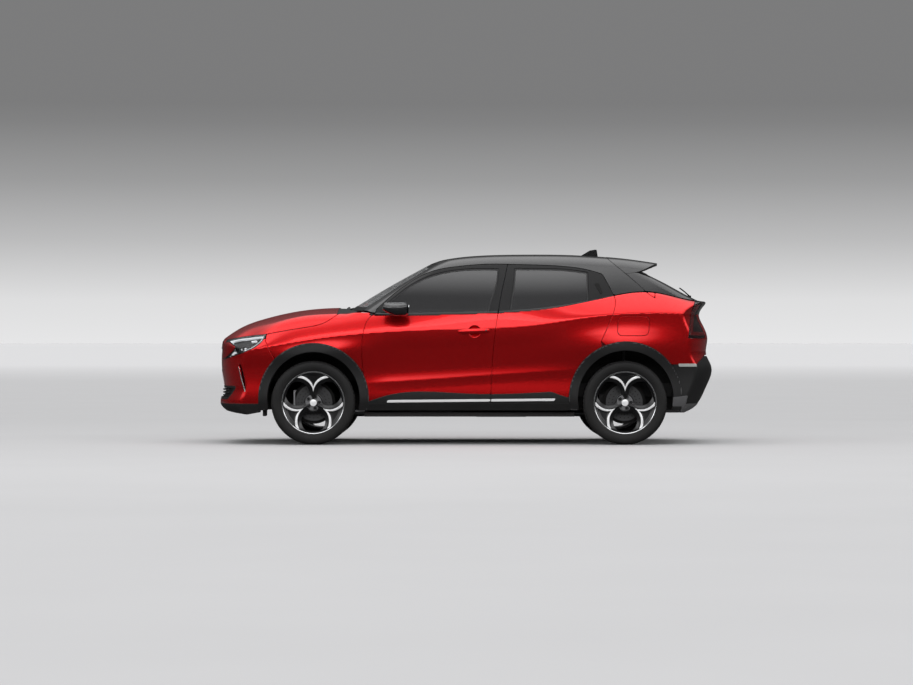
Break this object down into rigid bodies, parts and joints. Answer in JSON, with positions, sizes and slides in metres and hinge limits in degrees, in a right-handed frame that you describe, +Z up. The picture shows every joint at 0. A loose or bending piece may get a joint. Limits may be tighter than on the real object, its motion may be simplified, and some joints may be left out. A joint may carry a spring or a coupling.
{
  "type": "compact crossover car",
  "caption": "Compact five-door crossover with opening doors, bonnet, tailgate and filler flap, steered front wheels and free-turning wheels.",
  "frame": {"origin": "on the ground under the middle of the car's overall box", "axes": "+Z up, nose towards -X, the car's left side towards -Y"},
  "size_m": [4.1369, 2.08, 1.626],
  "materials": {
    "paint_red": "metallic clear-coated red",
    "paint_black": "gloss black",
    "glass_clear": "laminated, lightly tinted",
    "glass_dark": "dark privacy tint",
    "cladding": "fine-grained dark grey",
    "lamp_glass": "clear lamp cover",
    "lamp_red": "red lamp cover",
    "tyre": "moulded rubber",
    "rim": "black with machined silver edges",
    "steel": "plain",
    "underside": "coated grey",
    "body_inside": "body colour primer",
    "dash_plastic": "soft-touch black",
    "seat_fabric": "charcoal cloth"
  },
  "bodies": {
    "body": {"side_frame_left": "paint_red", "side_frame_right": "paint_red", "roof_panel": "paint_black", "windscreen": "glass_clear", "cowl_panel": "cladding", "front_fenders": "paint_red", "front_bumper": "paint_red", "front_grille": "cladding", "headlamps": "lamp_glass", "rear_bumper": "cladding", "tail_lamps": "lamp_red", "arch_and_sill_cladding": "cladding", "antenna_fin": "paint_black", "floor_pan": "underside", "wheel_liners": "cladding", "front_subframe": "underside", "front_crash_beam": "steel", "motor_block": "underside", "exhaust": "steel", "fuel_tank": "dash_plastic", "rear_axle": "underside", "dashboard": "dash_plastic", "front_seats": "seat_fabric", "rear_seat": "seat_fabric"},
    "bonnet": {"bonnet": "paint_red"},
    "tailgate": {"tailgate": "paint_black", "rear_glass": "glass_dark"},
    "filler_flap": {"filler_flap": "paint_red"},
    "front_door_left": {"front_door_left": "paint_red", "front_door_glass_left": "glass_clear", "door_mirror_left": "paint_black"},
    "front_door_right": {"front_door_right": "paint_red", "front_door_glass_right": "glass_clear", "door_mirror_right": "paint_black"},
    "rear_door_left": {"rear_door_left": "paint_red", "rear_door_glass_left": "glass_dark"},
    "rear_door_right": {"rear_door_right": "paint_red", "rear_door_glass_right": "glass_dark"},
    "steering_wheel": {"steering_wheel": "dash_plastic"},
    "front_knuckle_left": {"front_knuckle_left": "steel"},
    "front_knuckle_right": {"front_knuckle_right": "steel"},
    "wheel_front_left": {"wheel_front_left": "rim", "tyre_front_left": "tyre"},
    "wheel_front_right": {"wheel_front_right": "rim", "tyre_front_right": "tyre"},
    "wheel_rear_left": {"wheel_rear_left": "rim", "tyre_rear_left": "tyre"},
    "wheel_rear_right": {"wheel_rear_right": "rim", "tyre_rear_right": "tyre"}
  },
  "joints": [
    {"name": "bonnet_hinge", "type": "hinge", "parent": "body", "child": "bonnet", "pos_m": [-1.055, 0, 1.15], "axis": [0, 1, 0], "range_deg": [0, 50]},
    {"name": "tailgate_hinge", "type": "hinge", "parent": "body", "child": "tailgate", "pos_m": [1.186, 0, 1.562], "axis": [0, -1, 0], "range_deg": [0, 75]},
    {"name": "filler_flap_hinge", "type": "hinge", "parent": "body", "child": "filler_flap", "pos_m": [1.243, -0.892, 0.974], "axis": [0, 0, -1], "range_deg": [0, 95]},
    {"name": "front_door_left_hinge", "type": "hinge", "parent": "body", "child": "front_door_left", "pos_m": [-0.842, -0.882, 0.75], "axis": [0, 0, -1], "range_deg": [0, 65]},
    {"name": "rear_door_left_hinge", "type": "hinge", "parent": "body", "child": "rear_door_left", "pos_m": [0.232, -0.882, 0.75], "axis": [0, 0, -1], "range_deg": [0, 68]},
    {"name": "front_door_right_hinge", "type": "hinge", "parent": "body", "child": "front_door_right", "pos_m": [-0.842, 0.882, 0.75], "axis": [0, 0, 1], "range_deg": [0, 65]},
    {"name": "rear_door_right_hinge", "type": "hinge", "parent": "body", "child": "rear_door_right", "pos_m": [0.232, 0.882, 0.75], "axis": [0, 0, 1], "range_deg": [0, 68]},
    {"name": "steer_left", "type": "hinge", "parent": "body", "child": "front_knuckle_left", "pos_m": [-1.252, -0.698, 0.344], "axis": [0, 0, 1], "range_deg": [-32, 32]},
    {"name": "steer_right", "type": "hinge", "parent": "body", "child": "front_knuckle_right", "pos_m": [-1.252, 0.698, 0.344], "axis": [0, 0, 1], "range_deg": [-32, 32]},
    {"name": "steering_wheel_turn", "type": "hinge", "parent": "body", "child": "steering_wheel", "pos_m": [-0.405, -0.365, 0.985], "axis": [0.9, 0, 0.436], "range_deg": [-480, 480]},
    {"name": "wheel_front_left_spin", "type": "hinge", "parent": "front_knuckle_left", "child": "wheel_front_left", "pos_m": [-1.252, -0.763, 0.344], "axis": [0, 1, 0], "continuous": true},
    {"name": "wheel_front_right_spin", "type": "hinge", "parent": "front_knuckle_right", "child": "wheel_front_right", "pos_m": [-1.252, 0.763, 0.344], "axis": [0, 1, 0], "continuous": true},
    {"name": "wheel_rear_left_spin", "type": "hinge", "parent": "body", "child": "wheel_rear_left", "pos_m": [1.308, -0.763, 0.344], "axis": [0, 1, 0], "continuous": true},
    {"name": "wheel_rear_right_spin", "type": "hinge", "parent": "body", "child": "wheel_rear_right", "pos_m": [1.308, 0.763, 0.344], "axis": [0, 1, 0], "continuous": true}
  ],
  "couplings": [
    {"joint": "steer_right", "follows": "steer_left", "ratio": 1},
    {"joint": "steering_wheel_turn", "follows": "steer_left", "ratio": 15}
  ]
}
